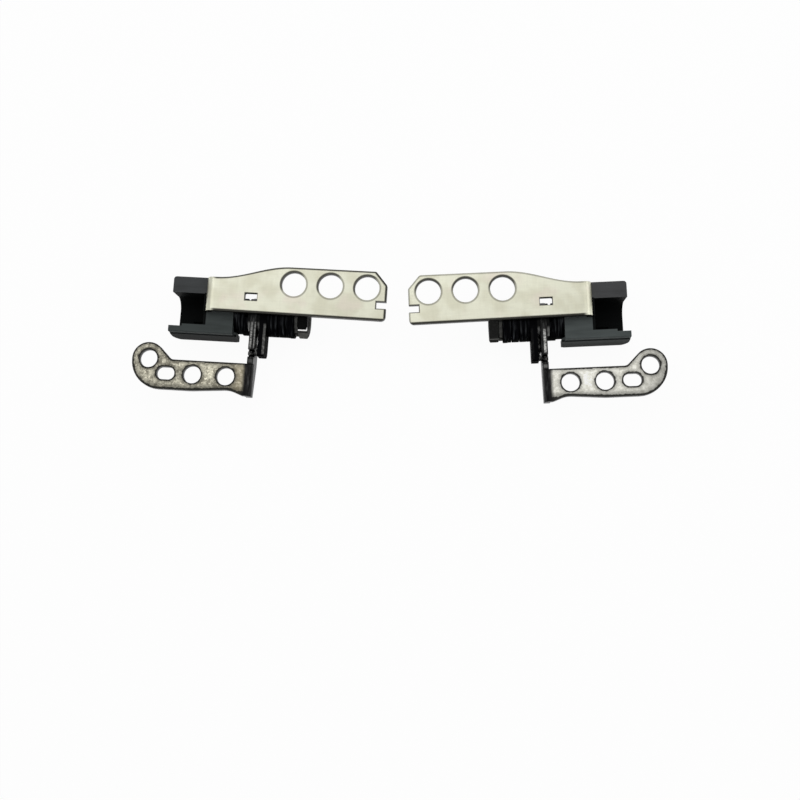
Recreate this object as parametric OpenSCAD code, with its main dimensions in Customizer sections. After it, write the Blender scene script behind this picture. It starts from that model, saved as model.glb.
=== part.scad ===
// A pair of laptop lid hinges, lying open on their shafts.
// Each hinge is drawn once, on its own shaft: X runs along the shaft from the ear of the foot
// bracket to the nut, Y points from the shaft to the lid plate, and Z points up. The origin of the
// pair is the middle of the space they take, on the surface that they lie on.

/* [Pair] */
// Distance between the ears of the two hinges
pair_spacing = 49.02; // [48:0.02:80]
// Turn of each hinge, its free end towards the front, in degrees
pair_turn = 2.87; // [0:0.01:6]
// How far the shafts lie behind the middle of the pair
shaft_back = 3.45; // [0:0.01:6]
// How much nearer the front the right hinge lies than the left one
right_offset = 0.58; // [0:0.05:2]

/* [Lid bracket] */
// Sheet thickness of the lid bracket
lid_t = 1.0; // [0.8:0.05:1.2]
// Reach of the plate from the ear to its free end
lid_in = 22.5; // [21.4:0.1:30]
// Reach of the plate from the ear to its bent end
lid_out = 8.3; // [8.1:0.02:8.6]
// Height of the plate at its free end, measured from the shaft's axis
lid_h = 8.1; // [7.8:0.1:10]
// How far the plate's front edge stands forward at its free end
lid_front_out = 0.3; // [0:0.05:0.6]
// Height of the plate at its bent end
lid_end_h = 5.8; // [5.4:0.05:6.4]
// Where the rising edge of the plate starts, on the bent end's side of the ear
shoulder_start = 6.5; // [4:0.1:6.6]
// Where the rising edge of the plate ends, on the free end's side of the ear
shoulder_end = 6.1; // [4:0.1:9]
// Inner radius of the bend
lid_bend_r = 0.2; // [0.2:0.05:0.5]
// Gap between the plate and the head of the ear
lid_gap = 0.3; // [0.2:0.05:0.8]
// Radius of the front corner at the free end
lid_corner_r = 0.8; // [0.3:0.1:1.2]
// Length of the slanted corner along the free end's rear edge
lid_slant_x = 2.0; // [1:0.1:3]
// Depth of the slanted corner
lid_slant_y = 2.3; // [1:0.1:3]
// Radius of the three screw holes
lid_hole_r = 2.1; // [1.5:0.05:2.3]
// Distance between the screw holes
lid_hole_pitch = 6.24; // [5.4:0.02:6.6]
// Distance of the first screw hole from the ear
lid_hole_x = 6.62; // [6:0.02:7.4]
// How far the screw holes lie in from the plate's rear edge
lid_hole_in = 2.9; // [2.7:0.02:3.4]
// Length of the small slot
lid_slot_l = 2.1; // [1:0.1:3]
// Width of the small slot
lid_slot_w = 1.3; // [0.8:0.1:2]
// Distance of the small slot from the ear, on the bent end's side
lid_slot_x = 0.54; // [0:0.02:2]
// Distance of the small slot from the shaft's axis
lid_slot_y = 2.66; // [2:0.02:3]
// Distance of the end notch from the shaft's axis
lid_notch_y = 2.36; // [2:0.02:3.4]
// Depth of the notch in the free end
lid_notch_l = 1.7; // [0.8:0.05:2.2]
// Width of the notch in the free end
lid_notch_w = 1.2; // [0.6:0.1:1.8]
// Radius of the bent ear round the shaft
lid_ear_r = 2.25; // [2.1:0.05:2.3]

/* [Foot bracket] */
// Sheet thickness of the foot bracket
foot_t = 1.05; // [0.8:0.05:1.2]
// Radius of the ear's head round the shaft
ear_head_r = 3.3; // [3.25:0.05:4]
// Top of the foot plate under the top of the ear's head
foot_drop = 0.1; // [0:0.05:0.4]
// Distance of the foot plate's near edge from the shaft's axis
foot_reach = 8.62; // [8.4:0.02:12]
// Width of the foot plate
foot_w = 5.15; // [4.8:0.05:7]
// Outer radius of the bend
foot_bend_r = 1.5; // [1.3:0.05:1.6]
// Distance of the lobe's hole from the ear
lobe_x = 17.42; // [16.5:0.02:20]
// How far the lobe's hole lies in from the foot plate's near edge
lobe_in = 0.02; // [-0.1:0.02:0.6]
// Radius of the lobe
lobe_r = 2.8; // [2.4:0.1:2.9]
// Straight stretch between the lobe and the round corner under it
heel_straight = 0.28; // [0:0.02:0.8]
// Radius of the round screw holes
foot_hole_r = 1.52; // [1:0.02:1.8]
// Distance of the screw hole beside the bend from the ear
foot_hole_x = 4.02; // [3.6:0.02:5]
// Distance between the two screw holes
foot_hole_pitch = 5.72; // [4.4:0.02:6]
// Distance of the slot from the ear
foot_slot_x = 14.3; // [13:0.02:15]
// Length of the slot
foot_slot_l = 3.1; // [2.4:0.1:3.6]
// Width of the slot
foot_slot_w = 2.2; // [1.4:0.1:2.3]
// How far the holes lie in from the foot plate's near edge
foot_hole_in = 2.4; // [2.2:0.02:2.9]
// How far the foot plate's far edge is drawn in at its waist
waist_in = 0.5; // [0:0.05:0.8]
// How far the foot plate's far edge stands out again at the bend
toe_out = 0.35; // [0:0.05:0.4]
// Depth of the ear under the shaft's axis, along its neck
neck_low = 0.6; // [0.2:0.1:1.5]
// Radius between the ear's head and its neck
neck_fillet = 1.5; // [0.6:0.1:2]
// Depth of the ear at its far end, over the shaft's axis
ear_tip_z = 0.9; // [0.4:0.1:1.2]
// Distance of the relief notch from the foot plate's near edge
relief_in = 1.86; // [1.3:0.02:2]
// Width of the relief notch
relief_w = 1.3; // [1.2:0.1:1.6]
// Depth of the relief notch
relief_d = 1.2; // [1:0.05:1.4]

/* [Shaft and its stack] */
// Radius of the shaft in the cap
shaft_r = 2.0; // [1.8:0.05:2.1]
// Radius of the shaft's collar
collar_r = 3.0; // [2.6:0.05:3.05]
// Thickness of the collar
collar_t = 1.4; // [0.8:0.1:1.6]
// Radius of the shaft's neck, where the washers sit
neck_r = 1.7; // [1.6:0.05:1.75]
// Half of the width across the neck's two flats
neck_flat = 1.28; // [1.1:0.02:1.4]
// Radius of the shaft's threaded end
thread_r = 1.5; // [1.4:0.05:1.55]
// Radius of the riveted head
rivet_r = 2.1; // [1.8:0.05:2.2]
// Height of the riveted head
rivet_h = 0.5; // [0.3:0.05:0.7]
// Radial gap between the neck and what turns on it
turn_gap = 0.05; // [0.02:0.01:0.08]
// Gap round the neck in the washers that turn with it
key_gap = 0.03; // [0.02:0.01:0.05]
// Radius of the thin washers
washer_r = 3.2; // [2.9:0.05:3.25]
// Thickness of the washer on the collar
collar_washer_t = 0.6; // [0.3:0.05:0.8]
// Thickness of the stop disc
stop_t = 0.5; // [0.4:0.05:0.8]
// Thickness of the friction washer on the collar's side of the ear
inner_washer_t = 0.5; // [0.3:0.05:0.8]
// Thickness of the friction washer on the nut's side of the ear
outer_washer_t = 0.5; // [0.3:0.05:0.8]
// Travel that the stop allows, in degrees
travel = 180; // [90:5:180]
// Radius of the stop pip on the ear
pip_r = 0.4; // [0.3:0.05:0.45]
// Distance of the stop pip from the shaft's axis
pip_out = 2.65; // [2.6:0.05:2.75]
// Gap round the stop pip
pip_gap = 0.08; // [0.05:0.01:0.1]
// Sheet thickness of the hook plate
hook_t = 1.2; // [0.6:0.05:1.3]
// How far the hook plate's arm reaches past its bent tip
hook_past = 0.1; // [0.1:0.05:0.5]
// How far the arm reaches down under the shaft's axis at its end
hook_low = 0.6; // [0:0.1:1.5]
// How much wider the bent tip is at the arm than in the notch
hook_root = 0.8; // [0.2:0.1:1.6]
// Width of the hook's bent tip
hook_tip_w = 0.6; // [0.4:0.05:0.9]
// Thickness of the washer behind the springs
backing_t = 0.5; // [0.5:0.05:1]
// Number of disc springs
spring_count = 5; // [2:1:6]
// Thickness of a disc spring
spring_t = 0.6; // [0.4:0.02:0.62]
// Cone height of a disc spring
spring_cone = 0.06; // [0.04:0.02:0.3]
// Outer radius of a disc spring
spring_r = 3.2; // [2.8:0.02:3.26]
// Radius of the pressure washer
pressure_r = 3.25; // [3:0.05:3.25]
// Thickness of the pressure washer
pressure_t = 0.8; // [0.6:0.05:1.2]
// Radius of the split lock washer
lock_r = 2.85; // [2.5:0.05:3]
// Thickness of the split lock washer
lock_t = 0.6; // [0.5:0.05:0.8]
// Width of the lock washer's split
lock_split = 0.35; // [0.2:0.05:0.5]
// Width of the nut across its flats
nut_flats = 5.5; // [5:0.1:5.5]
// Thickness of the nut
nut_t = 1.7; // [1.4:0.02:2.6]
// Chamfer on the nut's corners
nut_chamfer = 0.4; // [0.2:0.05:0.5]
// Turn of the left nut, in degrees
left_nut_turn = 10; // [0:1:60]
// Turn of the right nut, in degrees
right_nut_turn = 25; // [0:1:60]

/* [Cap] */
// Reach of the cap's rear wall past the bent end of the lid bracket
cap_reach = 5.9; // [4.8:0.1:8]
// How far the cap's front wall reaches past its rear wall
cap_front_reach = 0.4; // [0:0.1:1]
// How far the cap's open end leans in towards its lower edge
cap_end_lean = 0.3; // [0:0.05:1]
// Thickness of the wall between the channel and the lid bracket's ear
cap_end_wall = 0.3; // [0.2:0.05:0.6]
// Radius between the channel's floor and its rear wall
channel_fillet = 2.2; // [0.6:0.1:2.4]
// Front face of the cap, from the shaft's axis
cap_front = 3.65; // [3.5:0.05:4.2]
// How far the front face leans out towards its lower edge
cap_lean = 0.4; // [0.2:0.05:0.6]
// Rear face of the cap, from the shaft's axis
cap_rear = 5.85; // [5.85:0.01:6.2]
// Thickness of the channel's rear wall
cap_rear_wall = 2.8; // [1:0.1:2.9]
// Thickness of the channel's front wall
cap_front_wall = 1.42; // [1:0.02:1.6]
// Thickness of the front wall at the cap's open end
cap_lip_wall = 1.0; // [0.6:0.02:1.1]
// Length of the thin stretch of the front wall
cap_lip_l = 2.3; // [1:0.1:3]
// Thickness of the cap's floor
cap_floor = 1.0; // [0.8:0.1:1.1]
// Top of the cap's front block over the shaft's axis
cap_block_z = 3.0; // [2.8:0.05:3.2]
// Gap between the cap and the metal parts in it
cap_gap = 0.05; // [0.02:0.01:0.08]
// Radius of the cap's long lower edges
cap_edge_r = 0.7; // [0.4:0.1:1]
// Radius of the front wall's lower corner at the open end
cap_heel_r = 3.0; // [1:0.1:3.5]
// Length of the tongue that the cap reaches over the collar
tongue_l = 0.45; // [0.3:0.05:0.9]
// Thickness of the tongue
tongue_t = 0.6; // [0.4:0.05:0.64]
// Length of the groove in the channel's floor
groove_l = 2.8; // [1:0.1:3.5]
// Width of the groove in the channel's floor
groove_w = 0.36; // [0.2:0.02:0.6]

/* [Hidden] */
$fn = 72;
SIDES = ["left", "right"];
PIECES = ["lid_bracket", "foot_bracket", "cap", "shaft", "collar_washer", "stop_disc", "inner_washer",
    "outer_washer", "hook_plate", "backing_washer", "pressure_washer", "lock_washer", "nut"];
SPRINGS = [for (i = [1 : spring_count]) str("disc_spring_", i)];

// Degrees of arc to one flat of a rounded outline
arc_step = 7.5;
// Overlap of a cut past the face that it opens
eps = 0.2;

// Corner radii of the lid plate: ends of the slanted corner, and the small slot
slant_r = 0.5;
slot_corner_r = 0.25;
// The lid's bent ear: its full-width top, and where its tongue meets the round end
flange_h = 0.6;
flange_side = 0.6;
tongue_angle = -40;
// Corner radii of the foot plate: beside the lobe, where the far edge dips, and at its waist
lobe_fillet_r = 1.1;
dip_r = 6;
waist_r = 4;
// How far the waist lies from the screw hole, towards the ear
waist_x = 0.8;
// Radius of the slot's ends, as a share of its width
slot_round = 0.49;
// Riveted head: radius at its top and shoulder, and height of the shoulder, as shares of the whole
rivet_top = 0.6;
rivet_shoulder = 0.9;
rivet_shoulder_h = 0.6;
// Chamfer of the threaded end, and how far it stays inside the nut
thread_chamfer = 0.3;
thread_short = 0.1;
// Share of the pressure washer that the double-D neck reaches
neck_reach = 0.6;
// Gap over and under the hook's bent tip in the relief notch
hook_clear = 0.2;
// How far the arm stands round its bent tip
hook_rim = 0.1;
// Upper and lower corner radius of the arm's end
hook_top_r = 0.25;
hook_end_r = 1.2;
// Radial gap between the neck and the disc springs
spring_gap = 0.08;
// Where the lock washer is split, in degrees from the rear
split_angle = 160;
// Corner radii of the cap: rear rim, front rim, and upright rear corner
cap_rim_r = 0.3;
block_rim_r = 0.2;
cap_corner_r = 0.6;
// Step in the front face: its height over the shaft's axis, and its depth
step_z = 1.5;
step_out = 0.15;
// Radial gap round the riveted head
rivet_gap = 0.1;
// Tongue: its lower and upper edge from the shaft's axis, and the radii of its corners
tongue_low = -2.5;
tongue_high = 1.4;
tongue_r = 0.4;
// Front edge of the groove in the channel's floor
groove_y = -1.2;

// Places across the shaft, from its axis
lobe_y = foot_reach + lobe_in;
heel_r = foot_reach + foot_w - lobe_y - heel_straight;
relief_y = foot_reach - relief_in;
cap_nose = cap_front + cap_lean;
channel_rear = cap_rear - cap_rear_wall;
channel_front = cap_front_wall - cap_front;
channel_lip = cap_lip_wall - cap_front;

// Heights, from the shaft's axis
lid_z = ear_head_r + lid_gap;
foot_z = ear_head_r - foot_drop;
cap_z = lid_z - cap_gap;
cap_bottom = -ear_head_r;
channel_z = cap_bottom + cap_floor;

// Places along the shaft, from the middle of the ear towards the cap
ear_in = -foot_t / 2;
inner_washer_x = ear_in - inner_washer_t;
stop_x = inner_washer_x - stop_t;
collar_washer_x = stop_x - collar_washer_t;
collar_x = collar_washer_x - collar_t;
cap_in = collar_x - cap_gap;
lid_ear_x = -lid_out;
cap_rear_x = lid_ear_x - cap_reach;
cap_front_x = cap_rear_x - cap_front_reach;
channel_x = lid_ear_x - cap_gap - cap_end_wall;

// Places along the shaft, from the middle of the ear towards the nut
ear_out = foot_t / 2;
hook_x = ear_out + outer_washer_t;
backing_x = hook_x + hook_t;
springs_x = backing_x + backing_t;
spring_pitch = spring_t + spring_cone;
pressure_x = springs_x + spring_count * spring_pitch;
lock_x = pressure_x + pressure_t;
nut_x = lock_x + lock_t;
shaft_end_x = nut_x + nut_t - thread_short;
thread_x = pressure_x + pressure_t * neck_reach;

// Half of the angle that the stop pip takes in the stop disc's notch, gap included
pip_angle = asin((pip_r + pip_gap) / pip_out);

function unit(v) = v / norm(v);
function to2(p) = [p[0], p[1]];
function arc(centre, r, from, to) =
    let (steps = max(1, ceil(abs(to - from) / arc_step)))
    [for (i = [0 : steps]) let (a = from + (to - from) * i / steps) centre + r * [cos(a), sin(a)]];

// The points of one corner of an outline, rounded to its own radius
function corner(before, at, after) =
    let (r = len(at) > 2 ? at[2] : 0)
    r == 0 ? [to2(at)] :
    let (
        p = to2(at),
        u = unit(to2(before) - p),
        v = unit(to2(after) - p),
        half = acos(max(-1, min(1, u * v))) / 2,
        centre = p + unit(u + v) * r / sin(half),
        a = p + u * r / tan(half) - centre,
        b = p + v * r / tan(half) - centre,
        from = atan2(a[1], a[0]),
        sweep = (atan2(b[1], b[0]) - from + 900) % 360 - 180
    )
    arc(centre, r, from, from + sweep);

// An outline whose corners [x, y, radius] are rounded
module rounded(points) {
    n = len(points);
    polygon([for (i = [0 : n - 1])
        each corner(points[(i + n - 1) % n], points[i], points[(i + 1) % n])]);
}

module rounded_slot(length, width, r) {
    l = length / 2;
    w = width / 2;
    rounded([[-l, -w, r], [l, -w, r], [l, w, r], [-l, w, r]]);
}

// Lifts an outline drawn in Y and Z to a solid that starts at x
module across(x, thickness) {
    translate([x, 0, 0]) rotate([90, 0, 90]) linear_extrude(thickness) children();
}

// Lifts an outline drawn in X and Z to a solid that runs from y_front to y_rear
module along(y_front, y_rear) {
    translate([0, y_rear, 0]) rotate([90, 0, 0]) linear_extrude(y_rear - y_front) children();
}

// Turns an outline, drawn in radius and X, round the shaft's axis
module turned() {
    rotate([0, 90, 0]) rotate_extrude() children();
}

module double_d(gap = 0) {
    intersection() {
        circle(neck_r + gap);
        square([4 * neck_r, 2 * (neck_flat + gap)], center = true);
    }
}

// The rising rear edge of the lid plate, from the free end to the bent end
function shoulder() =
    let (steps = 24, span = shoulder_start + shoulder_end, rise = lid_h - lid_end_h)
    [for (i = [0 : steps]) let (u = 1 - i / steps)
        [u * span - shoulder_start, lid_end_h + rise * (1 - cos(180 * u)) / 2]];

module lid_outline(bend_x) {
    difference() {
        rounded(concat(
            [[bend_x, 0], [lid_in, -lid_front_out, lid_corner_r], [lid_in, lid_h - lid_slant_y, slant_r],
                [lid_in - lid_slant_x, lid_h, slant_r]],
            shoulder(),
            [[bend_x, lid_end_h]]
        ));
        for (i = [0 : 2]) {
            translate([lid_hole_x + i * lid_hole_pitch, lid_h - lid_hole_in]) circle(lid_hole_r);
        }
        translate([-lid_slot_x, lid_slot_y]) rounded_slot(lid_slot_l, lid_slot_w, slot_corner_r);
        translate([lid_in - lid_notch_l, lid_notch_y - lid_notch_w / 2])
            square([lid_notch_l + eps, lid_notch_w]);
    }
}

// The bent ear: a full-width flange at the top, and a tongue down to the shaft
module lid_ear_outline(gap = 0) {
    r = lid_ear_r + gap;
    top = lid_z - lid_bend_r;
    flange_z = top - flange_h;
    side = lid_ear_r + flange_side;
    front = 90 + acos(lid_ear_r / flange_z);
    circle(r);
    polygon([[-gap, top], [lid_end_h + gap, top], [lid_end_h + gap, flange_z - gap],
        [side + gap, flange_z - gap], [r * cos(tongue_angle), r * sin(tongue_angle)], [0, 0],
        [r * cos(front), r * sin(front)], [-gap, flange_z]]);
}

module lid_bracket() {
    bend_out = lid_bend_r + lid_t;
    bend_x = lid_ear_x + bend_out;
    color("gainsboro") difference() {
        union() {
            translate([0, 0, lid_z]) linear_extrude(lid_t) lid_outline(bend_x);
            along(0, lid_end_h) translate([bend_x, lid_z - lid_bend_r]) intersection() {
                difference() {
                    circle(bend_out);
                    circle(lid_bend_r);
                }
                translate([-2 * bend_out, 0]) square(2 * bend_out);
            }
            across(lid_ear_x, lid_t) lid_ear_outline();
        }
        across(lid_ear_x - eps, lid_t + 2 * eps) double_d(key_gap);
    }
}

module foot_outline(bend_x) {
    near = -foot_reach;
    far = near - foot_w;
    lobe = [-lobe_x, -lobe_y];
    heel = [-lobe_x - lobe_r + heel_r, far + heel_r];
    lobe_side = lobe + lobe_r * [cos(45), sin(45)];
    difference() {
        rounded(concat(
            [[bend_x, near], [lobe_side[0] + lobe_side[1] - near, near, lobe_fillet_r]],
            arc(lobe, lobe_r, 45, 180),
            arc(heel, heel_r, 180, 270),
            [[-foot_hole_x - foot_hole_pitch, far, dip_r],
                [-foot_hole_x + waist_x, far + waist_in, waist_r], [bend_x, far - toe_out]]
        ));
        translate(lobe) circle(foot_hole_r);
        for (i = [0 : 1]) {
            translate([-foot_hole_x - i * foot_hole_pitch, near - foot_hole_in]) circle(foot_hole_r);
        }
        translate([-foot_slot_x, near - foot_hole_in])
            rounded_slot(foot_slot_l, foot_slot_w, foot_slot_w * slot_round);
    }
}

// The ear: a round head on the shaft, and a neck that runs to the foot plate
module ear_outline() {
    near = -foot_reach;
    far = near - foot_w - toe_out;
    bend_z = foot_z - foot_bend_r;
    blend = neck_low + neck_fillet;
    blend_y = -sqrt(pow(ear_head_r + neck_fillet, 2) - pow(blend, 2));
    difference() {
        union() {
            circle(ear_head_r);
            polygon(concat(
                [[0, 0], [0, foot_z], [near, foot_z], [near, bend_z], [far, bend_z], [far, ear_tip_z],
                    [near, -neck_low]],
                arc([blend_y, -blend], neck_fillet, 90, atan2(blend, -blend_y))
            ));
        }
        translate([-relief_y, foot_z - relief_d + relief_w / 2]) circle(relief_w / 2);
        translate([-relief_y - relief_w / 2, foot_z - relief_d + relief_w / 2])
            square([relief_w, relief_d]);
        circle(neck_r + turn_gap);
    }
}

module foot_bracket() {
    bend_x = ear_out - foot_bend_r;
    bend_z = foot_z - foot_bend_r;
    near = -foot_reach;
    color("rosybrown") {
        translate([0, 0, foot_z - foot_t]) linear_extrude(foot_t) foot_outline(bend_x);
        along(near - foot_w - toe_out, near) translate([bend_x, bend_z]) intersection() {
            difference() {
                circle(foot_bend_r);
                circle(foot_bend_r - foot_t);
            }
            square(2 * foot_bend_r);
        }
        across(ear_in, foot_t) ear_outline();
        across(stop_x + pip_gap, inner_washer_t + stop_t - pip_gap)
            translate([0, -pip_out]) circle(pip_r);
    }
}

module shaft() {
    color("darkslategray") {
        turned() polygon([[0, lid_ear_x - rivet_h], [rivet_r * rivet_top, lid_ear_x - rivet_h],
            [rivet_r * rivet_shoulder, lid_ear_x - rivet_h * rivet_shoulder_h], [rivet_r, lid_ear_x],
            [0, lid_ear_x]]);
        across(lid_ear_x, lid_t) double_d();
        turned() polygon([[0, lid_ear_x + lid_t], [shaft_r, lid_ear_x + lid_t], [shaft_r, collar_x],
            [collar_r, collar_x], [collar_r, collar_washer_x], [0, collar_washer_x]]);
        across(collar_washer_x, thread_x - collar_washer_x) double_d();
        intersection() {
            turned() polygon([[0, thread_x], [thread_r, thread_x], [thread_r, shaft_end_x - thread_chamfer],
                [thread_r - thread_chamfer, shaft_end_x], [0, shaft_end_x]]);
            across(thread_x, shaft_end_x - thread_x)
                square([4 * thread_r, 2 * neck_flat], center = true);
        }
    }
}

// A washer that turns with the shaft
module keyed_washer(x, thickness, r) {
    across(x, thickness) difference() {
        circle(r);
        double_d(key_gap);
    }
}

module collar_washer() {
    color("dimgray") keyed_washer(collar_washer_x, collar_washer_t, washer_r);
}

// The notch runs from the pip, round the rear, as far as the lid travels
module stop_disc() {
    hub_r = pip_out - pip_r - pip_gap;
    from = -90 - pip_angle;
    to = -90 + travel + pip_angle;
    color("slategray") across(stop_x, stop_t) difference() {
        circle(washer_r);
        difference() {
            polygon(concat([[0, 0]], arc([0, 0], 2 * washer_r, from, to)));
            circle(hub_r);
        }
        double_d(key_gap);
    }
}

module inner_washer() {
    color("gray") across(inner_washer_x, inner_washer_t) difference() {
        circle(washer_r);
        circle(neck_r + turn_gap);
        translate([0, -pip_out]) circle(pip_r + pip_gap);
        translate([-pip_r - pip_gap, -2 * pip_out]) square([2 * (pip_r + pip_gap), pip_out]);
    }
}

module outer_washer() {
    color("gray") keyed_washer(ear_out, outer_washer_t, washer_r);
}

// The bent tip runs from the arm, past the ear's face, into the relief notch
module hook_plate() {
    tip_z = foot_z - relief_d + hook_clear;
    arm_z = foot_z - hook_clear;
    tip_near = -relief_y + hook_tip_w / 2;
    tip_far = -relief_y - hook_tip_w / 2;
    end_y = tip_far - hook_past;
    arm_x = hook_x + hook_t / 2;
    color("darkgray") {
        across(hook_x, hook_t) difference() {
            union() {
                circle(washer_r);
                rounded([[0, arm_z], [0, -washer_r / 2], [-washer_r, -hook_low, washer_r / 4],
                    [end_y, -hook_low, hook_end_r], [end_y, arm_z, hook_top_r]]);
            }
            circle(neck_r + turn_gap);
        }
        translate([0, 0, tip_z]) linear_extrude(arm_z - hook_rim - tip_z)
            polygon([[arm_x, tip_far], [arm_x, tip_near + hook_root], [hook_x, tip_near + hook_root],
                [ear_out + hook_rim, tip_near], [-ear_out, tip_near], [-ear_out, tip_far]]);
    }
}

module backing_washer() {
    color("dimgray") keyed_washer(backing_x, backing_t, washer_r);
}

// Disc springs face one way and the other in turn, so each meets the next on its rim
module disc_spring(i) {
    bore_r = neck_r + spring_gap;
    flip = i % 2 == 0;
    near = flip ? spring_cone : 0;
    far = spring_cone - near;
    color("lightslategray") translate([springs_x + (i - 1) * spring_pitch, 0, 0]) turned()
        polygon([[bore_r, near], [spring_r, far], [spring_r, far + spring_t], [bore_r, near + spring_t]]);
}

module pressure_washer() {
    color("dimgray") keyed_washer(pressure_x, pressure_t, pressure_r);
}

module lock_washer() {
    color("silver") across(lock_x, lock_t) difference() {
        circle(lock_r);
        circle(neck_r + turn_gap);
        rotate(split_angle) translate([0, -lock_split / 2]) square([2 * lock_r, lock_split]);
    }
}

module nut(turn) {
    r = nut_flats / 2 / cos(30);
    color("darkgray") intersection() {
        across(nut_x, nut_t) rotate(turn) difference() {
            circle(r, $fn = 6);
            circle(thread_r + key_gap);
        }
        turned() polygon([[0, nut_x], [r - nut_chamfer, nut_x], [r + nut_chamfer, nut_x + nut_chamfer],
            [r + nut_chamfer, nut_x + nut_t - nut_chamfer], [r - nut_chamfer, nut_x + nut_t],
            [0, nut_x + nut_t]]);
    }
}

// The cap's section across the shaft, lower at the front where no plate covers it
module cap_section() {
    rounded([[-cap_nose, cap_bottom, cap_edge_r], [cap_rear, cap_bottom, cap_edge_r],
        [cap_rear, cap_z, cap_rim_r], [-cap_gap, cap_z], [-cap_gap, cap_block_z],
        [-cap_front, cap_block_z, block_rim_r], [-cap_front, step_z],
        [-cap_front - step_out, step_z - step_out]]);
}

// The front wall with its round lower corner, the rest with its leaning open end, and the tongue
module cap_body() {
    intersection() {
        across(cap_front_x, cap_in + tongue_l - cap_front_x) cap_section();
        union() {
            along(-cap_nose - eps, channel_lip) rounded([[cap_front_x, cap_bottom, cap_heel_r],
                [cap_in, cap_bottom], [cap_in, lid_z], [cap_front_x, lid_z]]);
            intersection() {
                along(channel_lip - eps, cap_rear + eps) polygon([[cap_rear_x + cap_end_lean, cap_bottom],
                    [cap_in, cap_bottom], [cap_in, lid_z], [cap_rear_x, lid_z]]);
                translate([0, 0, cap_bottom - eps]) linear_extrude(lid_z - cap_bottom + 2 * eps)
                    rounded([[cap_rear_x, -cap_nose], [cap_in + eps, -cap_nose],
                        [cap_in + eps, cap_rear], [cap_rear_x, cap_rear, cap_corner_r]]);
            }
            along(-cap_nose - eps, tongue_t - cap_front)
                rounded([[cap_in - tongue_r, tongue_low], [cap_in + tongue_l, tongue_low, tongue_r],
                    [cap_in + tongue_l, tongue_high, tongue_r], [cap_in - tongue_r, tongue_high]]);
        }
    }
}

// The space for cables, open upwards and at the outer end
module cap_channel() {
    lip_x = cap_front_x + cap_lip_l;
    outer = cap_front_x - eps;
    intersection() {
        translate([0, 0, channel_z - eps]) linear_extrude(lid_z - channel_z + 2 * eps)
            polygon([[outer, channel_lip], [lip_x, channel_lip], [lip_x, channel_front],
                [channel_x, channel_front], [channel_x, channel_rear + eps], [outer, channel_rear + eps]]);
        across(outer - eps, channel_x - outer + 2 * eps)
            rounded([[-cap_front, channel_z], [channel_rear, channel_z, channel_fillet],
                [channel_rear, lid_z + eps], [-cap_front, lid_z + eps]]);
    }
    translate([channel_x - groove_l, groove_y, channel_z - cap_floor / 2])
        cube([groove_l, groove_w, cap_floor]);
}

module cap() {
    color([0.25, 0.26, 0.26]) difference() {
        cap_body();
        cap_channel();
        across(lid_ear_x - cap_gap, lid_t + 2 * cap_gap) lid_ear_outline(cap_gap);
        translate([lid_ear_x - cap_gap, -cap_gap, lid_z - lid_bend_r - cap_gap])
            cube([lid_t + lid_bend_r + cap_gap, lid_end_h + 2 * cap_gap, lid_t]);
        across(channel_x - eps, cap_end_wall + cap_gap + eps) circle(rivet_r + rivet_gap);
        across(lid_ear_x, cap_in - lid_ear_x + eps) circle(shaft_r + cap_gap);
    }
}

// Puts a hinge where it lies: the right one is the left one's mirror image
module placed(side) {
    if (side == "left") {
        translate([-pair_spacing / 2, shaft_back, ear_head_r]) rotate([0, 0, -pair_turn]) children();
    } else {
        translate([pair_spacing / 2, shaft_back - right_offset, ear_head_r]) rotate([0, 0, pair_turn])
            mirror([1, 0, 0]) children();
    }
}

for (side = SIDES) {
    placed(side) lid_bracket();
    placed(side) foot_bracket();
    placed(side) cap();
    placed(side) shaft();
    placed(side) collar_washer();
    placed(side) stop_disc();
    placed(side) inner_washer();
    placed(side) outer_washer();
    placed(side) hook_plate();
    placed(side) backing_washer();
    placed(side) pressure_washer();
    placed(side) lock_washer();
    placed(side)
        nut(side == "left" ? left_nut_turn : right_nut_turn);
    for (i = [1 : spring_count]) {
        placed(side) disc_spring(i);
    }
}
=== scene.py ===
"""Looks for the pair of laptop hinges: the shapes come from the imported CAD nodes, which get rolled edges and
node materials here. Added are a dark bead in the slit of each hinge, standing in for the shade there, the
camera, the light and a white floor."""

import math

import bpy
from mathutils import Matrix, Vector


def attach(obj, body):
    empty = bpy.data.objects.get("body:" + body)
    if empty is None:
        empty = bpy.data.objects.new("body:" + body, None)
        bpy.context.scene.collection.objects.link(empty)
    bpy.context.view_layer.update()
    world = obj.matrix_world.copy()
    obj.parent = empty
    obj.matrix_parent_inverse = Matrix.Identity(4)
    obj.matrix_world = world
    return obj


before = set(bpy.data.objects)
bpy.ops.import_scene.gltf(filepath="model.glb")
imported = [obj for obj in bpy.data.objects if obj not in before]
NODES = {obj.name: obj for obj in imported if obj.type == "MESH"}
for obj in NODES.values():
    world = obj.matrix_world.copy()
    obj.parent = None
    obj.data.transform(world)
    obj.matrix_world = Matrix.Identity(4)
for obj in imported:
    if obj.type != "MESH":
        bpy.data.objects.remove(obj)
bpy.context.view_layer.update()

MM = 0.001
SIDES = ("left", "right")

# The hinges' own frames, as part.scad places them, in millimetres
AXIS_Z = 3.3
PAIR_SPACING = 49.02
PAIR_TURN = math.radians(2.87)
SHAFT_BACK = 3.45
RIGHT_OFFSET = 0.58
ORIGIN = {
    "left": Vector((-PAIR_SPACING / 2, SHAFT_BACK, AXIS_Z)),
    "right": Vector((PAIR_SPACING / 2, SHAFT_BACK - RIGHT_OFFSET, AXIS_Z)),
}
TURN = {"left": -PAIR_TURN, "right": PAIR_TURN}
MIRROR = {"left": 1, "right": -1}

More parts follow.
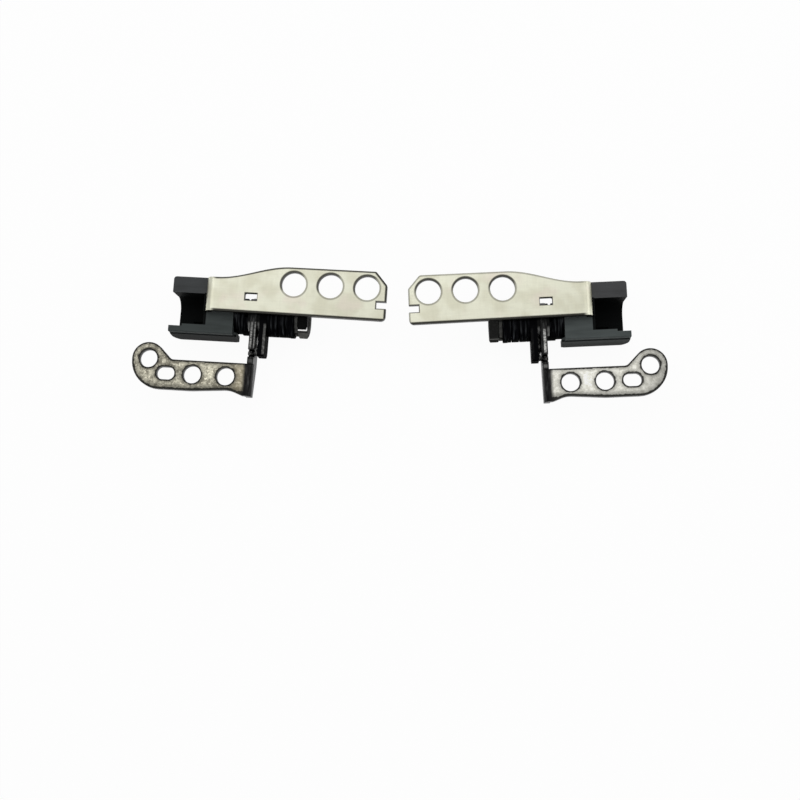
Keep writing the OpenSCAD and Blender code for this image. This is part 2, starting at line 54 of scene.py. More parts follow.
# The lid plate's sizes, as part.scad has them
LID_IN = 22.5
LID_H = 8.1
LID_END_H = 5.8
LID_FRONT_OUT = 0.3
LID_OUT = 8.3
LID_T = 1.0
LID_BEND_R = 0.2
SHOULDER_START = 6.5
SHOULDER_END = 6.1
SLANT_X = 2.0
SLANT_Y = 2.3
LID_HOLE_R = 2.1
LID_HOLE_X = 6.62
LID_HOLE_PITCH = 6.24
LID_HOLE_IN = 2.9
NOTCH_Y = 2.36
NOTCH_L = 1.7
NOTCH_W = 1.2

# Its lines and openings in the hinge's own frame: a slot or a notch is a centre and a size
LID_BEND_X = LID_BEND_R + LID_T - LID_OUT
LID_FRONT = ((LID_BEND_X, 0), (LID_IN, -LID_FRONT_OUT))
LID_SLANT = ((LID_IN, LID_H - SLANT_Y), (LID_IN - SLANT_X, LID_H))
LID_HOLES = [(LID_HOLE_X + i * LID_HOLE_PITCH, LID_H - LID_HOLE_IN) for i in range(3)]
LID_SLOT = ((-0.54, 2.66), (2.1, 1.3))
LID_NOTCH = ((LID_IN, NOTCH_Y), (2 * NOTCH_L, NOTCH_W))

# The foot plate's sizes, as part.scad has them
FOOT_REACH = 8.62
FOOT_W = 5.15
FOOT_T = 1.05
FOOT_BEND_R = 1.5
LOBE_X = 17.42
LOBE_IN = 0.02
LOBE_R = 2.8
HEEL_STRAIGHT = 0.28
FOOT_HOLE_R = 1.52
FOOT_HOLE_X = 4.02
FOOT_HOLE_PITCH = 5.72
FOOT_HOLE_IN = 2.4
FOOT_SLOT_X = 14.3
WAIST_X = 0.8
WAIST_IN = 0.5
TOE_OUT = 0.35

# Its lines, arcs and openings in the same frame. The lobe's side slants by 45 degrees and touches the lobe.
NEAR_Y = -FOOT_REACH
FAR_Y = NEAR_Y - FOOT_W
HOLE_Y = NEAR_Y - FOOT_HOLE_IN
LOBE = (-LOBE_X, NEAR_Y - LOBE_IN)
LOBE_TOUCH = tuple(c + LOBE_R * math.sqrt(0.5) for c in LOBE)
LOBE_SIDE = ((LOBE_TOUCH[0] + 1, LOBE_TOUCH[1] - 1), LOBE_TOUCH)
LOBE_TO_HEEL_Y = -8.8
HEEL_Y = LOBE[1] - HEEL_STRAIGHT
HEEL_R = HEEL_Y - FAR_Y
HEEL = (LOBE[0] - LOBE_R + HEEL_R, HEEL_Y)
MIDDLE_HOLE_X = -FOOT_HOLE_X - FOOT_HOLE_PITCH
DIP = (MIDDLE_HOLE_X, FAR_Y)
WAIST = (-FOOT_HOLE_X + WAIST_X, FAR_Y + WAIST_IN)
TOE = (FOOT_T / 2 - FOOT_BEND_R, FAR_Y - TOE_OUT)
FOOT_HOLES = (LOBE, (MIDDLE_HOLE_X, HOLE_Y), (-FOOT_HOLE_X, HOLE_Y))
FOOT_SLOT = ((-FOOT_SLOT_X, HOLE_Y), (3.1, 2.2))

# Added to a distance where its edge doesn't reach, in millimetres
FAR_OFF = 99.0

# Cosine between the flat and the rolled normal, where a surface counts as flat and as an edge
FLAT_COSINE = 0.998
EDGE_COSINE = 0.8


def feed(tree, socket, value):
    """Links another socket to this one, or sets its value."""
    if isinstance(value, bpy.types.NodeSocket):
        tree.links.new(value, socket)
    else:
        socket.default_value = value


def add_node(tree, kind, *inputs, **props):
    """A shader node with these properties, whose first sockets get the inputs."""
    made = tree.nodes.new("ShaderNode" + kind)
    for key, value in props.items():
        setattr(made, key, value)
    for socket, value in zip(made.inputs, inputs):
        feed(tree, socket, value)
    return made


class Look:
    """A Principled material whose textures use the hinge's own frame, in millimetres from its shaft."""

    def __init__(self, name, side, **shader):
        self.material = bpy.data.materials.new(f"{name}_{side}")
        self.material.use_nodes = True
        self.tree = self.material.node_tree
        self.bsdf = self.tree.nodes["Principled BSDF"]
        for key, value in shader.items():
            self.bsdf.inputs[key.replace("_", " ")].default_value = value
        coords = self.node("TexCoord")
        place = self.node("Mapping", coords.outputs["Object"], vector_type="TEXTURE")
        place.inputs["Location"].default_value = ORIGIN[side] * MM
        place.inputs["Rotation"].default_value = (0, 0, TURN[side])
        place.inputs["Scale"].default_value = (MIRROR[side] * MM, MM, MM)
        self.place = place.outputs["Vector"]
        self.x, self.y, self.z = self.node("SeparateXYZ", self.place).outputs
        facing = self.node("SeparateXYZ", coords.outputs["Normal"]).outputs
        self.ny, self.nz = (self.math("ABSOLUTE", n) for n in facing[1:])

    def node(self, kind, *inputs, **props):
        return add_node(self.tree, kind, *inputs, **props)

    def feed(self, socket, value):
        feed(self.tree, socket, value)

    def math(self, operation, *values, clamp=False):
        return self.node("Math", *values, operation=operation, use_clamp=clamp).outputs[0]

    def chain(self, operation, first, *others):
        for other in others:
            first = self.math(operation, first, other)
        return first

    def times(self, *values):
        return self.chain("MULTIPLY", *values)

    def least(self, *values):
        return self.chain("MINIMUM", *values)

    def most(self, *values):
        return self.chain("MAXIMUM", *values)

    def minus(self, a, b):
        return self.math("SUBTRACT", a, b)

    def fit(self, value, factor, offset):
        """The value times a factor, plus an offset."""
        return self.math("MULTIPLY_ADD", value, factor, offset)

    def noise(self, scale, detail=2.0, rough=0.5, stretch=(1, 1, 1), shift=0.0):
        """Noise from 0 to 1 whose scale is in cycles per millimetre, before the stretch."""
        mapped = self.node("Mapping", self.place)
        mapped.inputs["Scale"].default_value = stretch
        mapped.inputs["Location"].default_value = (shift, shift, shift)
        made = self.node("TexNoise", mapped.outputs[0])
        made.inputs["Scale"].default_value = scale
        made.inputs["Detail"].default_value = detail
        made.inputs["Roughness"].default_value = rough
        return made.outputs["Fac"]

    def ramp(self, value, low, high, to_low=0.0, to_high=1.0):
        """A smooth step from low to high, which may also run downwards."""
        made = self.node("MapRange", interpolation_type="SMOOTHSTEP")
        for name, v in (("Value", value), ("From Min", low), ("From Max", high),
                        ("To Min", to_low), ("To Max", to_high)):
            self.feed(made.inputs[name], v)
        return made.outputs[0]

    def band(self, value, low, high, soft):
        """1 between low and high, fading to 0 over the soft width on both sides."""
        return self.times(self.ramp(value, low - soft, low), self.ramp(value, high + soft, high))

    def mix(self, factor, a, b):
        made = self.node("Mix", factor, data_type="RGBA")
        for socket, value in ((made.inputs[6], a), (made.inputs[7], b)):
            self.feed(socket, value if isinstance(value, bpy.types.NodeSocket) else (*value, 1))
        return made.outputs[2]

    def gain(self, colour, factor):
        """The colour times a factor."""
        made = self.node("VectorMath", colour, operation="SCALE")
        self.feed(made.inputs["Scale"], factor)
        return made.outputs[0]

    def length(self, a, b):
        return self.math("SQRT", self.math("ADD", self.times(a, a), self.times(b, b)))

    def from_point(self, at):
        return self.length(self.minus(self.x, at[0]), self.minus(self.y, at[1]))

    def from_line(self, a, b):
        """Distance to the left of the line from a to b, below 0 to its right."""
        run = (Vector(b) - Vector(a)).normalized()
        start = Vector(a).dot(Vector((-run.y, run.x)))
        return self.fit(self.y, run.x, self.fit(self.x, -run.y, -start))

    def from_middle(self, at, size):
        """How far x and y lie outside a box in the plane, each below 0 within it."""
        return [self.minus(self.math("ABSOLUTE", self.minus(value, middle)), extent / 2)
                for value, middle, extent in zip((self.x, self.y), at, size)]

    def from_box(self, at, size):
        return self.most(*self.from_middle(at, size))

    def from_slot(self, at, size):
        """Distance from a slot with round ends, of the given length and width."""
        length, width = size
        past_straight = self.from_middle(at, (length - width, width))[0]
        return self.minus(self.length(self.most(past_straight, 0.0), self.minus(self.y, at[1])), width / 2)

    def away(self, distance, *tests):
        """The distance of an edge, made large where a test says that the edge doesn't reach."""
        for test in tests:
            distance = self.fit(test, FAR_OFF, distance)
        return distance

    def above(self, value, limit):
        return self.math("GREATER_THAN", value, limit)

    def below(self, value, limit):
        return self.math("LESS_THAN", value, limit)

    def edge(self, radius):
        """1 where the surface turns within the radius, in millimetres, and 0 on the flat."""
        rolled = self.node("Bevel", radius * MM, samples=12).outputs[0]
        flat = self.node("NewGeometry").outputs["Normal"]
        cosine = self.node("VectorMath", rolled, flat, operation="DOT_PRODUCT").outputs["Value"]
        return self.ramp(cosine, FLAT_COSINE, EDGE_COSINE)

    def done(self, colour, roughness, height, distance, strength):
        """Connects the colour, the roughness and a bump of the given distance in millimetres."""
        bump = self.node("Bump")
        for name, value in (("Height", height), ("Distance", distance * MM), ("Strength", strength)):
            self.feed(bump.inputs[name], value)
        for name, value in (("Base Color", colour), ("Roughness", roughness), ("Normal", bump.outputs[0])):
            self.feed(self.bsdf.inputs[name], value)
        return self.material


def lid_plate(side):
    """Pale nickel plate with faint stains and drawing lines, painted shade on its sheared walls and along its
    edges, and painted highlights at the bend and just inside the edges.
    """
    k = Look("lid_plate", side, Metallic=0.75)
    shift, pale, end_width, end_share, rear_share, lean = {
        "left": (0.0, 0.86, 0.46, 0.97, 0.92, -0.8),
        "right": (4.0, 0.94, 0.30, 0.5, 0.5, 0.15),
    }[side]
    stains = k.noise(0.30, shift=shift)
    blush = k.noise(0.22, shift=shift + 9)
    drawn = k.noise(1.5, 3, 0.6, stretch=(0.22, 2.4, 1), shift=shift)
    streaks = k.noise(1.2, 2, 0.6, stretch=(2.2, 0.3, 1), shift=shift)
    grain = k.noise(6.0, 2, 0.7)
    colour = k.mix(k.ramp(stains, 0.35, 0.65), (0.80, 0.80, 0.655), (0.70, 0.69, 0.545))
    colour = k.mix(k.ramp(blush, 0.55, 0.72, 0.0, 0.45), colour, (0.80, 0.715, 0.63))
    colour = k.gain(colour, pale)
    # Painted highlight: the plate is lighter towards the bend, and the edge lines and edge highlight stay off
    # it
    bend_highlight = k.ramp(k.x, -6.6, -7.6)
    on_flat = k.minus(1.0, bend_highlight)
    tone = k.fit(grain, 0.11, k.fit(streaks, 0.10, k.fit(drawn, 0.13, 0.83)))
    # Painted highlight: a faint lighter band just inside the edges
    tone = k.fit(bend_highlight, 0.2, k.fit(k.times(k.edge(0.5), 0.08), on_flat, tone))

    # Painted shade on the sheared walls: all but the flat top, the underside and the faces of the ear
    ear_face = k.times(k.below(k.x, LID_BEND_X + 0.15), k.minus(1.0, k.ny))
    wall = k.ramp(k.most(k.nz, ear_face), 0.93, 0.6)

    # Painted shade: dark lines round the outline and the openings, for the shaded walls and their shadow, as
    # far as they show in the photograph
    end = k.least(k.minus(LID_IN, k.x), k.from_line(*LID_SLANT))
    rear = k.minus(k.ramp(k.x, -SHOULDER_START, SHOULDER_END, LID_END_H, LID_H), k.y)
    rear = k.away(rear, k.above(k.x, LID_IN - SLANT_X))
    shade_lines = [k.times(k.ramp(distance, outer, inner), share) for distance, outer, inner, share in (
        (k.from_line(*LID_FRONT), 0.46, 0.26, 0.97),
        (end, end_width, 0.22, end_share),
        (rear, 0.36, 0.18, rear_share),
        (k.from_box(*LID_SLOT), 0.15, 0.03, 0.9),
        (k.from_box(*LID_NOTCH), 0.22, 0.08, 0.9),
    )]
    # Round each hole the painted shade is stronger on one side, set by the direction of the light
    for at in LID_HOLES:
        towards_light = k.fit(k.minus(k.x, at[0]), lean, k.minus(k.y, at[1]))
        ring = k.ramp(k.minus(k.from_point(at), LID_HOLE_R), 0.40, 0.20)
        shade_lines.append(k.times(ring, k.ramp(towards_light, -0.3, 1.2, 0.5, 0.92)))
    shade_line = k.times(k.most(*shade_lines), on_flat)
    # Painted shade: the walls and the edge lines are near black
    colour = k.mix(k.most(wall, shade_line), k.gain(colour, tone), (0.012, 0.011, 0.009))
    return k.done(colour, k.fit(grain, 0.16, 0.3), k.fit(drawn, 0.5, grain), 0.01, 0.35)


def foot_plate(side):
    """Heat-treated steel: a coarse mottled top with painted glints as bright specks, painted shade as dark
    rims, and painted shade making the bend and the ear near black.
    """
    k = Look("foot_plate", side, Metallic=0.85)
    light, dark, spark, lobe_shade, halo_share = {
        "left": ((0.60, 0.575, 0.46), (0.24, 0.225, 0.175), (1.0, 0.94, 0.76), 0.0, 0.5),
        "right": ((1.0, 0.99, 0.90), (0.74, 0.73, 0.65), (1.0, 0.99, 0.93), 1.2, 0.4),
    }[side]
    clouds = k.noise(0.35, shift=7)
    grit = k.noise(1.7, 3, 0.65)
    fine = k.noise(5.0, 2, 0.6, shift=2)
    # Painted glints: bright specks in the spark colour
    glint_specks = k.ramp(k.noise(2.4, 1, 0.4, shift=3), 0.60, 0.68)
    share = k.math("ADD", k.ramp(clouds, 0.3, 0.7, -0.3, 0.3), k.ramp(grit, 0.38, 0.62), clamp=True)
    colour = k.gain(k.mix(share, dark, light), k.fit(fine, 0.3, 0.85))
    colour = k.mix(k.times(glint_specks, 0.6), colour, spark)
    # Painted shade towards the lobe on the right hinge; darker towards the far edge, and lighter in a patch in
    # the middle
    darkening = k.most(k.ramp(k.x, -14.5, -18.5, 0.0, lobe_shade), k.ramp(k.y, -12.3, -13.3))
    bright = k.times(k.band(k.x, -8.0, -6.0, 1.2), k.band(k.y, -12.0, -10.2, 1.2))
    colour = k.gain(colour, k.fit(darkening, -0.28, k.fit(bright, 0.15, 1.0)))
    if side == "left":
        colour = k.mix(k.ramp(k.x, -4.0, -1.6, 0.0, 0.5), colour, (0.34, 0.29, 0.19))

    # Distances from the outline: the near edge with the lobe's slanted side, the lobe, the heel, the far edge
    near = k.most(k.minus(NEAR_Y, k.y), k.from_line(*LOBE_SIDE))
    below_lobe_side = k.above(k.minus(k.minus(k.x, LOBE[0]), k.minus(k.y, LOBE[1])), 0.0)
    lobe = k.away(k.minus(LOBE_R, k.from_point(LOBE)), below_lobe_side, k.below(k.y, LOBE_TO_HEEL_Y))
    heel = k.away(k.minus(HEEL_R, k.from_point(HEEL)), k.above(k.y, LOBE_TO_HEEL_Y), k.above(k.x, HEEL[0]))
    far = k.most(k.from_line(DIP, WAIST), k.from_line(WAIST, TOE))
    far = k.away(k.least(k.minus(k.y, FAR_Y), far), k.below(k.x, HEEL[0]))
    holes = [k.minus(k.from_point(at), FOOT_HOLE_R) for at in FOOT_HOLES]

    # Painted shade: dark rims round the outline and the openings, where the rolled edges turn from the light,
    # with a softer halo beyond them, ragged and wider at the heel and the far edge
    ragged = k.fit(k.noise(1.6, 2, 0.6, shift=8), 0.5, -0.25)
    inner = k.math("ADD", k.least(near, lobe, k.from_slot(*FOOT_SLOT), *holes), ragged)
    outer = k.math("ADD", k.least(heel, far), ragged)
    rim = k.times(k.most(k.ramp(inner, 0.42, 0.2), k.ramp(outer, 0.55, 0.3)), 0.97)
    halo = k.times(k.most(k.ramp(inner, 0.95, 0.25), k.ramp(outer, 1.4, 0.3)), halo_share)
    # Painted shade on the walls, which face sideways
    wall = k.ramp(k.nz, 0.93, 0.55)
    colour = k.mix(k.most(wall, rim, halo), colour, (0.010, 0.010, 0.009))

    # Painted shade: the bend and the ear are near black, with painted highlight lines along the ear's upper
    # edge
    ear = k.most(k.ramp(k.x, -1.4, -0.6), k.ramp(k.z, 2.0, 1.4))
    streaks = k.noise(1.6, 2, 0.6, stretch=(3.0, 0.35, 1))
    black = k.mix(k.ramp(streaks, 0.45, 0.75), (0.008, 0.008, 0.008), (0.045, 0.045, 0.045))
    top = k.times(k.ramp(k.nz, 0.5, 0.8), k.ramp(k.z, 2.3, 2.6))
    dots = k.ramp(k.noise(2.6, 2, 0.6, stretch=(0.6, 1.6, 1), shift=1), 0.38, 0.6)
    # The painted highlight lines and their colour differ between the hinges
    if side == "left":
        lines = k.most(k.band(k.x, -0.30, -0.10, 0.12), k.times(k.band(k.x, 0.32, 0.42, 0.1), 0.8))
        painted_highlight = k.times(lines, k.band(k.y, -5.6, -1.7, 0.5), k.fit(dots, 0.7, 0.3))
        steel = (0.27, 0.27, 0.26)
    else:
        lines = k.band(k.x, -0.24, 0.04, 0.12)
        painted_highlight = k.times(lines, k.band(k.y, -5.6, -2.0, 0.35), k.fit(dots, 0.7, 0.25))
        steel = (0.62, 0.62, 0.60)
    # Painted highlight: a grey spot on the ear's top, just before the foot plate
    fillet_highlight = k.times(k.band(k.y, -8.25, -8.0, 0.3), k.band(k.x, -0.2, 0.2, 0.25), 0.2)
    black = k.mix(k.times(top, k.most(painted_highlight, fillet_highlight)), black, steel)
    return k.done(k.mix(ear, colour, black), k.fit(grit, 0.2, 0.28), k.fit(fine, 0.3, grit), 0.03, 0.5)


def cap_plastic(side):
    """Dark grey moulded plastic with a fine spark-eroded skin, with painted shade down in its channel, in the
    crease and on the front band, and a painted highlight on its edges.
    """
    k = Look("cap_plastic", side, Metallic=0.0, Specular_IOR_Level=0.03)
    block, wall, nose = {
        "left": ((0.053, 0.061, 0.060), (0.055, 0.058, 0.060), (0.010, 0.012, 0.011)),
        "right": ((0.073, 0.084, 0.083), (0.062, 0.063, 0.065), (0.044, 0.052, 0.049)),
    }[side]
    skin = k.noise(8, 2, 0.6)
    flow = k.noise(0.8, 2, 0.5, stretch=(0.3, 1.6, 1.6))
    colour = k.mix(k.ramp(k.y, -0.3, 0.3), block, wall)
    # Painted shade: the front band below the step is darker than the block, much darker on the left hinge, and
    # darker still towards the bottom
    nose = k.mix(k.ramp(k.z, 1.2, -1.2), nose, tuple(0.35 * c for c in nose))
    colour = k.mix(k.times(k.ramp(k.z, 1.6, 1.3), k.ramp(k.y, -3.35, -3.5)), colour, nose)
    # Painted shade in the crease at the step
    crease_shade = k.times(k.band(k.z, 1.15, 1.7, 0.12), k.ramp(k.y, -3.4, -3.6), 0.8)
    colour = k.mix(crease_shade, colour, (0.006, 0.007, 0.007))
    # Painted highlight on the edges
    colour = k.mix(k.times(k.edge(0.2), 0.35), colour, (0.13, 0.14, 0.14))
    colour = k.gain(colour, k.fit(flow, 0.6, k.fit(skin, 0.4, 0.5)))

    # Painted shade: near black down in the channel, and in the strip between it and the lid plate's end
    deep = k.times(k.ramp(k.x, -8.55, -8.7), k.ramp(k.z, 3.46, 3.3))
    strip = k.band(k.x, -8.62, -8.27, 0.06)
    channel_shade = k.times(k.band(k.y, -2.25, 3.12, 0.06), k.most(deep, strip), 0.97)
    colour = k.mix(channel_shade, colour, (0.0015, 0.002, 0.002))
    return k.done(colour, k.fit(skin, 0.2, 0.45), skin, 0.008, 0.45)


def turned_steel(name, side, base, worn, shine=0.26, worn_share=0.5, lit=None):
    """Blackened steel with faint tool rings and worn rims, and painted highlight streaks on top when a lit
    colour is given.
    """
    k = Look(name, side, Metallic=0.95, Specular_Tint=(0.12, 0.12, 0.12, 1))
    rings = k.noise(3.0, 2, 0.6, stretch=(3.2, 0.35, 0.35))
    stains = k.noise(0.9, 3, 0.6)
    colour = k.mix(k.ramp(stains, 0.35, 0.7), base, tuple(0.5 * c for c in base))
    wear = k.times(k.edge(0.12), k.ramp(k.noise(1.6, 2, 0.6, shift=5), 0.35, 0.65), worn_share)
    colour = k.mix(wear, colour, worn)
    # Painted highlight: streaks on top in the lit colour
    if lit:
        streaks = k.ramp(k.noise(1.5, 2, 0.6, stretch=(1.6, 0.15, 0.15), shift=3), 0.5, 0.72)
        colour = k.mix(k.times(streaks, k.band(k.z, 1.0, 2.6, 0.9)), colour, lit)
    return k.done(colour, k.fit(rings, 0.22, shine), rings, 0.008, 0.5)


def friction_steel(side):
    """The two thin washers beside the ear: black, with a painted highlight band at the top of their rims."""
    k = Look("friction_steel", side, Metallic=0.95, Specular_Tint=(0.2, 0.2, 0.2, 1))
    rings = k.noise(3.0, 2, 0.6, stretch=(3.2, 0.35, 0.35))
    # Painted highlight: a lighter band at the top of the rims
    painted_highlight = k.times(k.band(k.z, 1.85, 2.7, 0.3), k.fit(rings, 0.6, 0.4))
    colour = k.mix(painted_highlight, (0.010, 0.010, 0.010), (0.30, 0.30, 0.29))
    return k.done(colour, k.fit(rings, 0.2, 0.3), rings, 0.008, 0.5)


def hook_steel(side):
    """The hook plate: black oxide, with a painted highlight line along the arm and painted glints on its bent
    tip.
    """
    k = Look("hook_steel", side, Metallic=0.95, Specular_Tint=(0.06, 0.06, 0.06, 1))
    share = {"left": 0.9, "right": 0.06}[side]
    rings = k.noise(2.4, 3, 0.65)
    dots = k.ramp(k.noise(2.2, 2, 0.6, shift=6), 0.45, 0.65)
    top = k.ramp(k.nz, 0.5, 0.8)
    along_arm = k.band(k.y, -6.6, -1.8, 0.4)
    # Painted highlight: a line along the arm, strong on the left hinge, and painted glints on the bent tip
    line = k.times(k.band(k.x, 1.85, 2.1, 0.15), along_arm, top, share, k.fit(dots, 0.6, 0.4))
    glint = k.times(k.ramp(k.x, 1.1, 0.95), dots, top, 0.5)
    colour = k.mix(k.most(line, glint), (0.0025, 0.0025, 0.003), (0.18, 0.18, 0.172))
    return k.done(colour, k.fit(rings, 0.25, 0.28), rings, 0.012, 0.5)


def nut_steel(side):
    """The nut: painted shade and light give a near black upper flat and a lighter, mottled lower one, with a
    painted highlight along an edge, between the flats on the left hinge.
    """
    k = Look("nut_steel", side, Metallic=0.9, Specular_Tint=(0.2, 0.2, 0.2, 1))
    upper, lower, bright, share = {
        "left": ((0.006, 0.006, 0.006), (0.10, 0.10, 0.094), (1.0, 1.0, 0.98), 1.0),
        "right": ((0.022, 0.022, 0.021), (0.034, 0.034, 0.032), (0.5, 0.5, 0.48), 0.4),
    }[side]
    mottle = k.noise(2.6, 3, 0.7)
    lines = k.noise(5.0, 2, 0.6, stretch=(0.4, 1.5, 1.5))
    # Painted shade and light: the upper flat near black, the lower flat lighter
    colour = k.gain(k.mix(k.ramp(k.z, 1.7, 1.1), upper, lower), k.fit(mottle, 1.5, 0.2))
    colour = k.gain(colour, k.fit(lines, 0.5, 0.75))
    # Painted highlight along an edge, in the bright colour
    if side == "left":
        glint = k.times(k.band(k.z, 1.95, 2.25, 0.12), k.ramp(k.y, -1.5, -1.8))
    else:
        glint = k.times(k.band(k.z, 0.6, 0.9, 0.15), k.ramp(k.y, -2.4, -2.7))
    colour = k.mix(k.times(glint, share), colour, bright)
    return k.done(colour, k.fit(mottle, 0.2, 0.3), lines, 0.01, 0.5)


def grease(side):
    """The dark bead that stands in for the shade in the slit: glossy, with painted glints as paler streaks,
    and on the left hinge a painted bright glint.
    """
    k = Look("grease", side, Metallic=0.0, Specular_IOR_Level=0.5)
    # Painted glints: paler streaks
    streaks = k.ramp(k.noise(1.6, 2, 0.6, stretch=(1, 0.6, 1)), 0.42, 0.66)
    lumps = k.noise(3.0, 2, 0.6)
    colour = k.mix(streaks, (0.012, 0.012, 0.012), (0.30, 0.30, 0.295))
    if side == "left":
        glint = k.times(k.band(k.y, -5.2, -3.9, 0.3), k.band(k.x, 0.66, 0.98, 0.12))
        colour = k.mix(glint, colour, (0.9, 0.9, 0.89))
    return k.done(colour, k.fit(lumps, 0.3, 0.15), lumps, 0.06, 0.7)


LOOKS = {}
for side in SIDES:
    LOOKS[side] = {
        "lid_plate": lid_plate(side),
        "foot_plate": foot_plate(side),
        "cap_plastic": cap_plastic(side),
        "friction_steel": friction_steel(side),
        "hook_steel": hook_steel(side),
        "nut_steel": nut_steel(side),
        "grease": grease(side),
        "lock_steel": turned_steel("lock_steel", side, (0.10, 0.10, 0.095), (0.6, 0.6, 0.58), 0.3, 0.8),
        "dark_steel": turned_steel("dark_steel", side, (0.004, 0.004, 0.005), (0.07, 0.07, 0.07),
                                   lit=(0.05, 0.054, 0.058)),
    }

# Rolled edges in millimetres, and the material of each piece, where they aren't the common ones
COMMON_ROLL = 0.05
ROLL = {"lid_bracket": 0.09, "foot_bracket": 0.13, "cap": 0.09, "shaft": 0.06, "nut": 0.07, "hook_plate": 0.14}
FINISH = {"lid_bracket": "lid_plate", "foot_bracket": "foot_plate", "cap": "cap_plastic", "nut": "nut_steel",
          "lock_washer": "lock_steel", "inner_washer": "friction_steel", "outer_washer": "friction_steel",
          "hook_plate": "hook_steel"}

# Points this near are one, in millimetres. Faces this level are joined, and edges this sharp are rolled.
WELD_DISTANCE = 0.002
LEVEL_ANGLE = math.radians(0.6)
SHARP_ANGLE = math.radians(32)
EVEN_WEIGHT = 80

for name, node in NODES.items():
    side, piece = name.split("_", 1)
    node.data.materials.clear()
    node.data.materials.append(LOOKS[side][FINISH.get(piece, "dark_steel")])
    node.data.normals_split_custom_set([(0, 0, 0)] * len(node.data.loops))
    node.data.polygons.foreach_set("use_smooth", [True] * len(node.data.polygons))
    weld = node.modifiers.new("weld", "WELD")
    weld.merge_threshold = WELD_DISTANCE * MM
    flat = node.modifiers.new("flat", "DECIMATE")
    flat.decimate_type = "DISSOLVE"
    flat.angle_limit = LEVEL_ANGLE
    roll = node.modifiers.new("roll", "BEVEL")
    roll.width = ROLL.get(piece, COMMON_ROLL) * MM
    roll.segments = 2
    roll.limit_method = "ANGLE"
    roll.angle_limit = SHARP_ANGLE
    roll.miter_outer = "MITER_ARC"
    even = node.modifiers.new("even", "WEIGHTED_NORMAL")
    even.keep_sharp = False
    even.weight = EVEN_WEIGHT

# The dark bead that stands in for the shade in the slit: its centre line in the hinge's own frame, its half
# width and half height, in millimetres
BEAD_X = 0.86
BEAD_Z = 1.05
BEAD_Y = -2.7
BEAD_LENGTH = 3.05
BEAD_HALF_W = 0.46
BEAD_HALF_H = 0.85
BEAD_SAG = 0.15
BEAD_RINGS = 22
BEAD_STEPS = 20
BEAD_PHASE = {"left": 0.4, "right": 1.9}


def global_point(side, x, y, z):
    """A point of the hinge's own frame, in metres in the shared frame."""
    point = Vector((MIRROR[side] * x, y, z)) * MM
    point.rotate(Matrix.Rotation(TURN[side], 3, "Z"))
    return ORIGIN[side] * MM + point


def slit_shade_bead(side):
    """A lumpy dark bead between the foot bracket's ear and the hook plate's arm, standing in for the shade in
    the slit between them.
    """
    phase = BEAD_PHASE[side]
    points = []
    for i in range(BEAD_RINGS + 1):
        t = i / BEAD_RINGS
        swell = math.sin(math.pi * min(max(t, 0.01), 0.99)) ** 0.45
        lump = 1 + 0.16 * math.sin(9 * t + phase) + 0.10 * math.sin(17 * t + 2.3 * phase)
        sag = BEAD_SAG * math.sin(6 * t)
        for j in range(BEAD_STEPS):
            a = 2 * math.pi * j / BEAD_STEPS
            size = swell * (1 + 0.07 * math.sin(3 * a + 11 * t + phase))
            x = BEAD_X + BEAD_HALF_W * size * math.cos(a)
            z = BEAD_Z + (BEAD_HALF_H * math.sin(a) * lump - sag) * size
            points.append(global_point(side, x, BEAD_Y - BEAD_LENGTH * t, z))
    rings = [[i * BEAD_STEPS + j for j in range(BEAD_STEPS)] for i in range(BEAD_RINGS + 1)]
    faces = [(ring[j], ring[(j + 1) % BEAD_STEPS], after[(j + 1) % BEAD_STEPS], after[j])
             for ring, after in zip(rings, rings[1:]) for j in range(BEAD_STEPS)]
    faces += [tuple(reversed(rings[0])), tuple(rings[-1])]
    if MIRROR[side] < 0:
        faces = [face[::-1] for face in faces]
    mesh = bpy.data.meshes.new(f"{side}_grease")
    mesh.from_pydata(points, [], faces)
    mesh.polygons.foreach_set("use_smooth", [True] * len(mesh.polygons))
    mesh.materials.append(LOOKS[side]["grease"])
    bead = bpy.data.objects.new(f"{side}_grease", mesh)
    bpy.context.scene.collection.objects.link(bead)
    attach(bead, "base")


# A dark bead in each hinge's slit, standing in for its shade
for side in SIDES:
    slit_shade_bead(side)

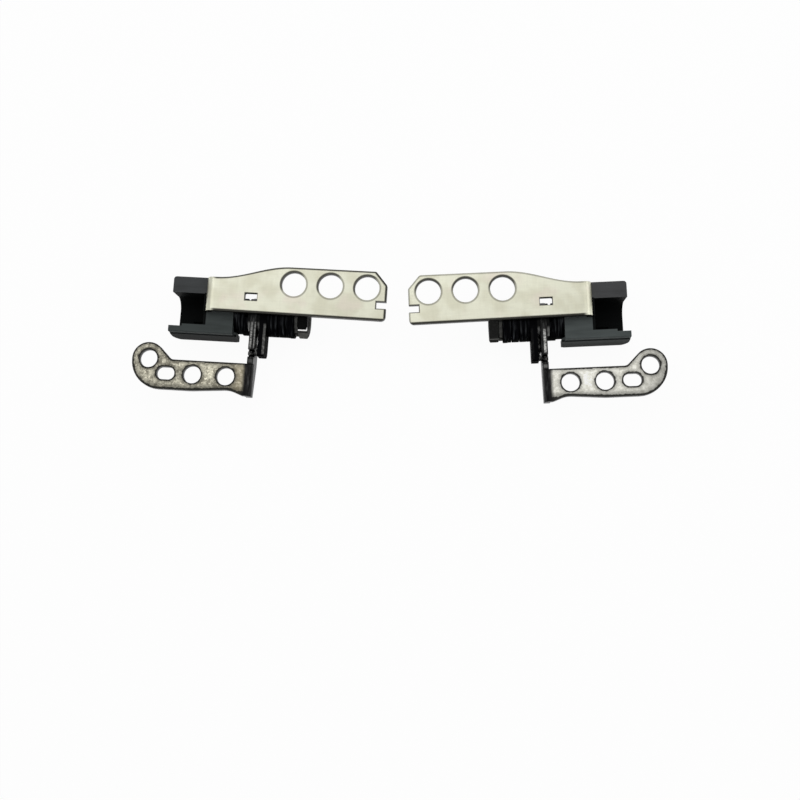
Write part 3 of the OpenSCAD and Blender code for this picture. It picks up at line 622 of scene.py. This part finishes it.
# The floor: white to the camera and in reflections, and it keeps the object's shadow
FLOOR_SIZE = 6
WHITE_SHARE = 0.95
PAPER = (0.9, 0.9, 0.9, 1)
scene = bpy.context.scene
bpy.ops.mesh.primitive_plane_add(size=FLOOR_SIZE, location=(0, 0, 0))
floor = bpy.context.object
floor.name = "floor"
paper = bpy.data.materials.new("paper")
paper.use_nodes = True
tree = paper.node_tree
tree.nodes.clear()
path = add_node(tree, "LightPath")
seen = path.outputs["Is Camera Ray"]
for ray in ("Is Glossy Ray", "Is Transmission Ray"):
    seen = add_node(tree, "Math", seen, path.outputs[ray], operation="MAXIMUM").outputs[0]
share = add_node(tree, "Math", seen, WHITE_SHARE, operation="MULTIPLY")
matt = add_node(tree, "BsdfDiffuse", PAPER)
glow = add_node(tree, "Emission")
blend = add_node(tree, "MixShader", share.outputs[0], matt.outputs[0], glow.outputs[0])
add_node(tree, "OutputMaterial", blend.outputs[0])
floor.data.materials.append(paper)

# The sky: white to the camera, and weaker as a light
SKY_LIGHT = 0.55
world = bpy.data.worlds.new("studio")
scene.world = world
world.use_nodes = True
tree = world.node_tree
background = tree.nodes["Background"]
background.inputs["Color"].default_value = (1, 1, 1, 1)
seen = add_node(tree, "LightPath").outputs["Is Camera Ray"]
strength = add_node(tree, "Math", seen, 1 - SKY_LIGHT, SKY_LIGHT, operation="MULTIPLY_ADD")
feed(tree, background.inputs["Strength"], strength.outputs[0])


def lamp(name, at, size, power):
    """An area lamp aimed at the object, with place and size in millimetres and power in watts."""
    data = bpy.data.lights.new(name, "AREA")
    data.shape = "RECTANGLE"
    data.size, data.size_y = (s * MM for s in size)
    data.energy = power
    made = bpy.data.objects.new(name, data)
    scene.collection.objects.link(made)
    made.location = Vector(at) * MM
    made.rotation_mode = "QUATERNION"
    made.rotation_quaternion = (-made.location).to_track_quat("-Z", "Y")


lamp("key", (-60, 190, 330), (420, 260), 0.42)
lamp("side", (260, 40, 200), (160, 200), 0.10)

# The camera, fitted to the centres of the holes in the photograph: focus is in widths of the picture
EYE = Vector((12.0, -42.94, 220.0))
AIM = Vector((0.475, -10.80, 4.0))
CAMERA_ROLL = math.radians(0.893)
FOCUS = 1290 / 800
SENSOR = 36
camera_data = bpy.data.cameras.new("camera")
camera = bpy.data.objects.new("camera", camera_data)
scene.collection.objects.link(camera)
camera_data.sensor_width = SENSOR
camera_data.lens = SENSOR * FOCUS
camera_data.clip_start = 0.01
ahead = (AIM - EYE).normalized()
right = ahead.cross(Vector((0, 1, 0))).normalized()
up = right.cross(ahead)
aimed = Matrix((right, up, -ahead)).transposed().to_4x4()
camera.matrix_world = Matrix.Translation(EYE * MM) @ aimed @ Matrix.Rotation(CAMERA_ROLL, 4, "Z")
scene.camera = camera

scene.view_settings.view_transform = "Standard"
